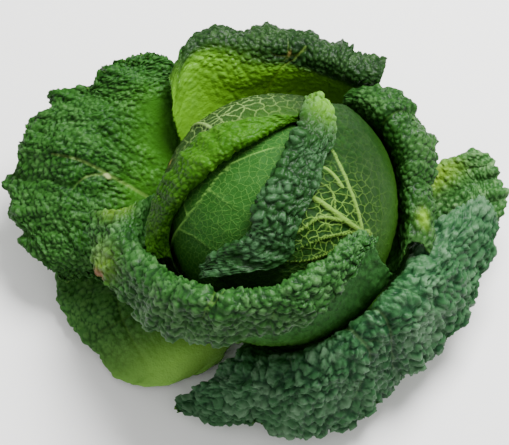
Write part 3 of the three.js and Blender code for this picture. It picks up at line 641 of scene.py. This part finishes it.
# Each leaf, in six groups of values. A place on it is (w, v): w from 0 at the base to 1 at the margin, v from
# -1 to 1 across it, anticlockwise seen from above. Lists are read evenly along w or across v.
#   form: azimuth, radius, rise, crest and spread where it hugs the head, or else spokes, each an azimuth and
#     then places as radius and height; width and lean along w, and how far its corners are cut back
#   margin: the share that rolls, how long it is and how far it turns across v, and how uneven it is
#   pillows: their size and puff along w, the puff across v, and the calm spots that have none
#   veins: how far up they reach, their widths, the pairs of side veins, and veins placed one by one
#   colour: the bright flush at the base, and the spots of glow, pale net and wear
#   making: the seed of its random draws, its grid's cell, its hidden share, its slot and its two finishes
LEAVES = {
    "head_leaf_left": dict(
        azimuth=200, radius=(70.7, 70.7), rise=-74, crest=(100, 104, 100), spread=(24, 58, 76, 78, 70),
        roll_share=0.08, roll_length=(5, 5), roll_turn=(2, 2), lobes=12, frill=0.6,
        pillow_size=(9, 8, 7), puff=(0.1, 0.1, 0.1),
        veined=0.4, side_vein=0.5, pairs=3,
        veins=((1.2, ((0.36, 0), (0.5, 0.02), (0.62, -0.01), (0.75, -0.13), (0.9, -0.12))),
               (0.6, ((0.5, 0.02), (0.55, 0.16), (0.6, 0.4), (0.67, 0.6))),
               (0.6, ((0.56, 0), (0.57, -0.16), (0.61, -0.45))),
               (0.5, ((0.66, -0.03), (0.71, 0.15), (0.8, 0.42))),
               (0.5, ((0.72, -0.1), (0.73, -0.28), (0.71, -0.5)))),
        seed=1, cell=1.5, hidden=0.2, slot="head_leaf", upper=GREEN, lower=INNERMOST),
    "head_leaf_back": dict(
        azimuth=130, radius=(75.0, 75.0), rise=-73, crest=(75, 76, 75, 69, 60, 45, 12),
        spread=(24, 60, 74, 81, 79), lean=(0, 1, 4, 6, 8),
        roll_share=0.36, roll_length=(3, 3, 3, 4, 10, 20, 33, 37, 37, 33, 27, 20, 13),
        roll_turn=(5, 5, 10, 60, 130, 160, 175, 185, 185, 180, 165, 130, 80), roll_end=0.62, lobes=30,
        frill=0.8,
        pillow_size=(9, 8, 6, 4, 3.4), puff=(0.1, 0.1, 0.2, 0.8, 0.9),
        puff_across=(1, 1, 1, 1, 1, 0.9, 0.6, 0.4),
        flush_zone=(0, 0.1), glow=((0.9, -0.2, 0.3, 0.35), (0.9, 0.2, 0.3, 0.2)),
        pale=((0.5, -0.15, 0.09, 0.35),), wear=((0.45, 0.3, 0.01, 0.03),),
        seed=2, cell=0.87, hidden=0.55, slot="young_leaf", upper=BRIGHT, lower=OUTSIDE),
    "head_leaf_right": dict(
        azimuth=-20, radius=(75, 75, 75.5, 75.5, 76.5, 79.2, 80.5), rise=-72,
        crest=(140, 111, 86, 87, 85, 84, 83, 85, 91), spread=(24, 62, 72, 69, 57), lean=(0, 0, 0, -3, -10),
        corner=0,
        roll_share=0.36, roll_length=(18, 32, 39, 40, 38, 37, 34, 26, 15),
        roll_turn=(120, 180, 190, 190, 190, 190, 190, 185, 150), roll_end=0.45, lobes=30, frill=1.0,
        pillow_size=(9, 8, 8, 7, 6), puff=(0.1, 0.1, 0.2, 1, 1),
        veined=0.42, side_vein=0.6, pairs=4,
        veins=((1.4, ((0.43, -0.1), (0.45, -0.12))),
               (1.1, ((0.45, -0.11), (0.52, 0.12), (0.56, 0.31), (0.6, 0.5))),
               (2.0, ((0.45, -0.13), (0.49, -0.12), (0.53, -0.1), (0.57, -0.06), (0.62, -0.02))),
               (1.3, ((0.5, -0.13), (0.54, -0.19), (0.56, -0.31), (0.59, -0.42))),
               (0.9, ((0.53, 0.1), (0.56, 0.19), (0.59, 0.23), (0.64, 0.28))),
               (1.0, ((0.45, -0.14), (0.48, -0.21), (0.52, -0.33), (0.555, -0.47))),
               (1.1, ((0.42, -0.1), (0.47, -0.3), (0.52, -0.5), (0.55, -0.62))),
               (0.6, ((0.52, -0.1), (0.54, 0.02), (0.57, 0.08), (0.61, 0.12))),
               (0.25, ((0.4, 0.02), (0.45, 0.25), (0.5, 0.55)))),
        glow=((0.96, 0.88, 0.2, 0.22),), pale=((0.53, -0.16, 0.09, 0.3),),
        seed=3, cell=1.1, hidden=0.34, slot="head_leaf", upper=PUCKERED, lower=FANNED),
    "wrapper_leaf_front": dict(
        spokes=((164, INNER_FOOT, (60, 32), (75, 56), (84, 76), (92, 92)),
                (188, INNER_FOOT, (60, 32), (75, 54), (83, 72), (91, 89)),
                (212, INNER_FOOT, (60, 32), (78, 57), (84, 79), (86, 104)),
                (237, INNER_FOOT, (60, 32), (81, 62), (86, 92), (83, 127)),
                (262, INNER_FOOT, (60, 32), (80, 62), (84, 98), (78, 140)),
                (286, INNER_FOOT, (60, 32), (80, 62), (83, 100), (70, 147)),
                (310, INNER_FOOT, (60, 32), (79, 62), (81, 99), (63, 152)),
                (333, INNER_FOOT, (60, 32), (79, 62), (82, 98), (67, 147))),
        corner=0.02,
        roll_share=0.36, roll_length=(35, 44, 55, 61, 52, 38, 26, 14),
        roll_turn=(100, 120, 150, 165, 165, 160, 150, 100), roll_end=0.6, ragged=0.11, lobes=40, frill=1.3,
        pillow_size=(9, 9, 8, 7, 5.5), puff=(0.1, 0.3, 0.6, 1, 1), swell=1.5, lumps=1.2,
        veins=((0.9, ((0.7, -0.02), (0.78, -0.06), (0.84, -0.07))), (0.7, ((0.78, -0.06), (0.78, -0.11))),
               (0.6, ((0.9, 0.2), (0.82, 0.24)))),
        glow=((0.8, -1, 0.12, 0.08), (0.93, -0.72, 0.09, 0.08)), wear=((1.0, -0.71, 0.04, 0.03),),
        seed=4, cell=1.02, hidden=0.55, slot="wrapper_leaf", upper=FRONT, lower=SHADED),
    "wrapper_leaf_back": dict(
        spokes=((48, MIDDLE_FOOT, (62, 31), (94, 72), (107, 93), (113, 103)),
                (66, MIDDLE_FOOT, (62, 31), (92, 72), (98, 96), (99, 106)),
                (84, MIDDLE_FOOT, (62, 31), (88, 72), (96, 98), (101, 108)),
                (104, MIDDLE_FOOT, (60, 32), (86, 70), (97, 97), (107, 108)),
                (122, MIDDLE_FOOT, (58, 33), (84, 70), (103, 98), (118, 113)),
                (142, MIDDLE_FOOT, (58, 33), (79, 66), (88, 88), (99, 104))),
        width=(0.8, 0.95, 1, 0.97, 0.86), lean=(0, 0, 0, -1, -3), corner=0.11,
        roll_share=0.24, roll_length=(26, 28, 32, 27, 19, 7), roll_turn=(100, 115, 105, 90, 60, 20),
        ruffle=18, lobes=34, frill=1.6,
        pillow_size=(9, 7, 6, 5, 4.5), puff=(0.05, 0.15, 0.3, 1, 1), puff_across=(1, 1, 1, 1, 0.8, 0.3),
        veins=((0.8, ((0.74, -0.12), (0.8, -0.09), (0.87, -0.06))),
               (0.7, ((0.76, -0.11), (0.79, -0.17), (0.83, -0.24))),
               (0.7, ((0.76, -0.11), (0.76, -0.02), (0.79, 0.05))),
               (0.6, ((0.77, -0.11), (0.71, -0.1), (0.64, -0.05)))),
        # the flush and glow spots here are partly the leaf's own yellow-green and partly painted light
        # shining through the thin blade
        flush_zone=(0.55, 0.72), flush_across=(0.5, 0.8, 1, 1, 1, 1),
        glow=((0.75, 0.97, 0.2, 0.1), (0.7, 0.6, 0.07, 0.35)), wear=((0.785, -0.115, 0.022, 0.014),),
        seed=5, cell=0.87, hidden=0.45, slot="young_leaf", upper=YOUNG, lower=LOWER),
    "wrapper_leaf_right": dict(
        spokes=((-24, INNER_FOOT, (60, 32), (80, 60), (85, 80), (88, 97)),
                (4, INNER_FOOT, (60, 32), (77, 61), (80, 81), (82, 99)),
                (22, INNER_FOOT, (60, 33), (79, 64), (82.5, 85), (82.5, 105)),
                (42, INNER_FOOT, (60, 33), (81, 68), (84.5, 91), (83, 114)),
                (64, INNER_FOOT, (60, 34), (81, 69), (85, 90), (87, 108))),
        roll_share=0.34, roll_length=(25, 27, 30, 37, 44, 46, 42, 23, 9), roll_turn=(130, 140, 145, 140, 50),
        ruffle=12, lobes=24, frill=1.5,
        pillow_size=(9, 8, 7, 5, 4.5), puff=(0.1, 0.3, 0.5, 1, 1),
        flush_zone=(0, 0.1), glow=((0.86, -0.82, 0.05, 0.06),),
        seed=6, cell=0.92, hidden=0.45, slot="wrapper_leaf", upper=RIM, lower=LOWER),
    "outer_leaf_left": dict(
        spokes=((119, OUTER_FOOT, (60, 30), (90, 67), (117, 95), (144, 111)),
                (136, OUTER_FOOT, (60, 30), (92, 67), (120, 93), (142, 98)),
                (151, OUTER_FOOT, (60, 29), (92, 62), (131, 88), (162, 83)),
                (166, OUTER_FOOT, (60, 26), (92, 52), (134, 77), (172, 65)),
                (181, OUTER_FOOT, (60, 22), (92, 38), (128, 57), (160, 47)),
                (195, OUTER_FOOT, (60, 18), (92, 28), (122, 36), (144, 28))),
        corner=0.12,
        roll_share=0.14,
        roll_length=(10, 13, 15, 21, 22, 8, 17, 22, 8, 21, 12, 19, 8, 23, 10, 22, 12, 20, 13, 15, 10),
        roll_turn=(40, 50, 50, 50, 40, 30), ruffle=30, ragged=0.15, wave=5, lobes=26, frill=2.4,
        pillow_size=(9, 6, 4.4, 4.2, 4.6), puff=(0.05, 0.15, 1.2, 1.4, 1.3), lumps=1.3,
        calm=((0.58, -0.62, 0.1, 0.2), (0.47, -0.48, 0.1, 0.25), (0.42, 0.22, 0.06, 0.3)),
        midrib=0.3, side_vein=0.3, pairs=5, middle=0.555,
        veins=((2.6, ((0.1, 0.11), (0.3, 0.1), (0.5, 0.1), (0.62, 0.1), (0.76, 0.11))),
               (0.9, ((0.56, 0.11), (0.62, 0.2), (0.67, 0.32)))),
        flush_zone=(0.3, 0.6),
        glow=((0.58, -0.6, 0.13, 0.2), (0.47, -0.45, 0.12, 0.25), (0.42, 0.2, 0.08, 0.35)),
        wear=((0.55, 0.115, 0.012, 0.02),),
        seed=7, cell=0.85, hidden=0.35, slot="outer_leaf", upper=RIDGED, lower=LOWER),
    "outer_leaf_front_left": dict(
        spokes=((168, LOWEST_FOOT, (62, 8), (99, 14), (130, 18), (153, 20)),
                (187, LOWEST_FOOT, (62, 8), (97, 13), (124, 15), (147, 15)),
                (206, LOWEST_FOOT, (60, 9), (91, 16), (115, 16), (135, 12)),
                (226, LOWEST_FOOT, (56, 9), (80, 15), (100, 13), (122, 7)),
                (246, LOWEST_FOOT, (46, 9), (59, 12), (70, 10), (80, 6))),
        corner=0.14,
        roll_share=0.08, roll_length=(5, 5, 5), roll_turn=(20, 20, 20), ragged=0.3, wave=2, lobes=22,
        frill=1.6,
        pillow_size=(9, 7, 6, 5, 4.5), puff=(0.1, 0.2, 0.4, 0.7, 0.7),
        puff_across=(1, 1, 1, 0.7, 0.35, 0.12, 0.1),
        veins=((1.2, ((0.45, -0.6), (0.58, -0.31), (0.67, 0.07), (0.86, 0.47))),),
        glow=((0.75, 0.64, 0.5, 0.36),),
        seed=8, cell=1.1, hidden=0.35, slot="outer_leaf", upper=BASAL, lower=LOWER),
    "outer_leaf_front_right": dict(
        spokes=((-123, OUTER_FOOT, (56, 18), (80, 31), (104, 28), (122, 12)),
                (-95, OUTER_FOOT, (66, 28), (89, 59), (107, 53), (119, 20)),
                (-70, OUTER_FOOT, (77, 38), (90, 80), (108, 70), (126, 26)),
                (-45, OUTER_FOOT, (79, 40), (89, 92), (106, 86), (121, 38)),
                (-20, OUTER_FOOT, (79, 39), (92, 81), (112, 84), (133, 49)),
                (8, OUTER_FOOT, (66, 29), (98, 66), (124, 76), (142, 62))),
        width=(0.8, 0.84, 0.88, 0.96, 1), lean=(3, 3, 3, 2, 0), corner=0.05,
        roll_share=0.12, roll_length=(10, 14, 19, 1, 20, 9, 16, 9, 14, 9, 15, 10, 15, 9, 13, 9),
        roll_turn=(30, 30, 30), ruffle=25, ragged=0.15, wave=4, lobes=30, frill=2.0,
        pillow_size=(10, 10, 10, 9, 7), puff=(0.05, 0.1, 0.7, 1, 1), pimple=0.4, swell=2.0, lumps=2.1,
        veins=((1.9, ((0.25, -0.12), (0.49, -0.1), (0.7, -0.03), (0.83, -0.16))),
               (0.6, ((0.3, 0.3), (0.5, 0.36), (0.74, 0.47))),
               (0.6, ((0.4, -0.5), (0.6, -0.6), (0.8, -0.66))),
               (0.5, ((0.6, -0.07), (0.7, 0.1), (0.84, 0.2)))),
        seed=9, cell=1.05, hidden=0.5, slot="outer_leaf", upper=SEA, lower=LOWER),
    "outer_leaf_right": dict(
        spokes=((-6, LOWEST_FOOT, (66, 13), (104, 22), (124, 27), (132, 28)),
                (11, LOWEST_FOOT, (66, 14), (104, 30), (132, 42), (146, 46)),
                (27, LOWEST_FOOT, (66, 16), (104, 38), (131, 54), (146, 61))),
        corner=0.14,
        roll_share=0.1, roll_length=(8, 10, 8), roll_turn=(20, 20, 20), ruffle=25, ragged=0.3, wave=3,
        lobes=12, frill=1.6,
        pillow_size=(8, 6, 4.5, 4, 3.8), puff=(0.1, 0.4, 1, 1, 1),
        glow=((0.58, 0.85, 0.16, 0.25),),
        seed=10, cell=0.85, hidden=0.5, slot="outer_leaf", upper=SIDE, lower=LOWER),
}

bpy.ops.object.select_all(action="DESELECT")
for name, leaf in LEAVES.items():
    build_leaf(name, leaf)

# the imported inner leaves: the azimuth and height angle of each one's middle, and how far it reaches
HEART_RADIUS, HEART_STEP = 64.8, 1.5
HEART_LEAVES = ((20, -25, 96), (150, -20, 92), (265, -15, 90), (75, -10, 84), (205, -5, 78))


def direction(azimuth, height):
    """The way out at an azimuth and an angle above level."""
    level = math.cos(height)
    return np.array((level * math.cos(azimuth), level * math.sin(azimuth), math.sin(height)))


def heart_place(azimuth, climb):
    """A ball on which each packed leaf is a step, with a wavy margin and shallow puckers."""
    out = direction(azimuth, (climb - 0.5) * math.pi)
    radius = HEART_RADIUS - HEART_STEP * len(HEART_LEAVES)
    for n, (a, h, reach) in enumerate(HEART_LEAVES):
        middle = direction(math.radians(a), math.radians(h))
        away = math.degrees(math.acos(max(-1, min(1, float(out @ middle)))))
        around = math.atan2(out[2] - middle[2], out[0] * middle[1] - out[1] * middle[0])
        margin = reach + 2.5 * math.sin(7 * around + n) + 1.5 * math.sin(13 * around + 2 * n)
        radius += HEART_STEP * (1 - float(ease(margin - 5, margin, away)))
    return HEAD + out * (radius - 0.4 + 0.4 * math.sin(9 * azimuth + 5 * climb) * math.sin(23 * climb))


# the stump from its cut face up, as radius and height; each ledge is where leaf bases leave it
STUMP = ((0, 0), (9, 0), (17, 0), (19, 0.25), (20.5, 1), (25.2, 4.6), (24.7, 7.4), (24.1, 10.2), (23.5, 13),
         (20, 18.5), (12, 22.5), (5, 22.5), (0, 22.5))


def stump_place(azimuth, climb):
    """The stump's outline turned round, with shallow ribs above its cut face."""
    k = climb * (len(STUMP) - 1)
    i = min(int(k), len(STUMP) - 2)
    radius, height = (a + (b - a) * (k - i) for a, b in zip(STUMP[i], STUMP[i + 1]))
    if height > 1:
        radius *= 1 - 0.012 * (1 + math.sin(5 * azimuth + height) * math.sin(11 * azimuth))
    return radius * math.cos(azimuth), radius * math.sin(azimuth), height


turned("heart_leaves", "heart", rings=48, segments=72, place=heart_place,
       finish=leaf_finish("heart_pale", **PACKED))
turned("cut_stem", "stump", rings=36, segments=64, place=stump_place, finish=stem_finish("stem_cut"))

# ---------------------------------------------------------------- floor, light and camera

FLOOR_GAP = 0.5                         # the floor lies this far under the cut face
bpy.ops.mesh.primitive_plane_add(size=6, location=(0, 0, -FLOOR_GAP * MM))
floor = bpy.context.object
floor.name = "floor"
floor.data.materials.append(plain_finish("floor_pale", "fafaf8", 0.7))

world = bpy.data.worlds.new("studio")
bpy.context.scene.world = world
world.use_nodes = True
sky = world.node_tree.nodes["Background"]
sky.inputs["Color"].default_value = (1.0, 1.0, 1.0, 1.0)
sky.inputs["Strength"].default_value = 0.9


def soft_light(name, location, size, power):
    """A square lamp that looks at the middle of the head."""
    light = bpy.data.lights.new(name, "AREA")
    light.size, light.energy = size, power
    lamp = bpy.data.objects.new(name, light)
    bpy.context.scene.collection.objects.link(lamp)
    lamp.location = location
    lamp.rotation_mode = "QUATERNION"
    lamp.rotation_quaternion = (Vector(HEAD * MM) - Vector(location)).to_track_quat("-Z", "Y")


soft_light("key_light", location=(0.28, 0.4, 1.0), size=0.5, power=33.0)

IMAGE = (509, 445)                      # width and height of the rendered view, in pixels
MM_PER_PIXEL = 0.64                     # at the middle of the head
HEAD_PIXEL = (277, 212)                 # where the middle of the head is in that view
ELEVATION = math.radians(66)            # how steeply the camera looks down
DISTANCE = 1400.0                       # from the camera to the middle of the view
upward = Vector((0, math.sin(ELEVATION), math.cos(ELEVATION)))
toward = Vector((0, -math.cos(ELEVATION), math.sin(ELEVATION)))
rightward = Vector((1, 0, 0))
target = (Vector(HEAD) + rightward * (IMAGE[0] / 2 - HEAD_PIXEL[0]) * MM_PER_PIXEL
          + upward * (HEAD_PIXEL[1] - IMAGE[1] / 2) * MM_PER_PIXEL)
camera = bpy.data.objects.new("camera", bpy.data.cameras.new("camera"))
bpy.context.scene.collection.objects.link(camera)
camera.location = (target + toward * DISTANCE) * MM
camera.rotation_mode = "QUATERNION"
camera.rotation_quaternion = (-toward).to_track_quat("-Z", "Y")
camera.data.lens = camera.data.sensor_width * DISTANCE / (IMAGE[0] * MM_PER_PIXEL)
camera.data.clip_end = 10
bpy.context.scene.camera = camera
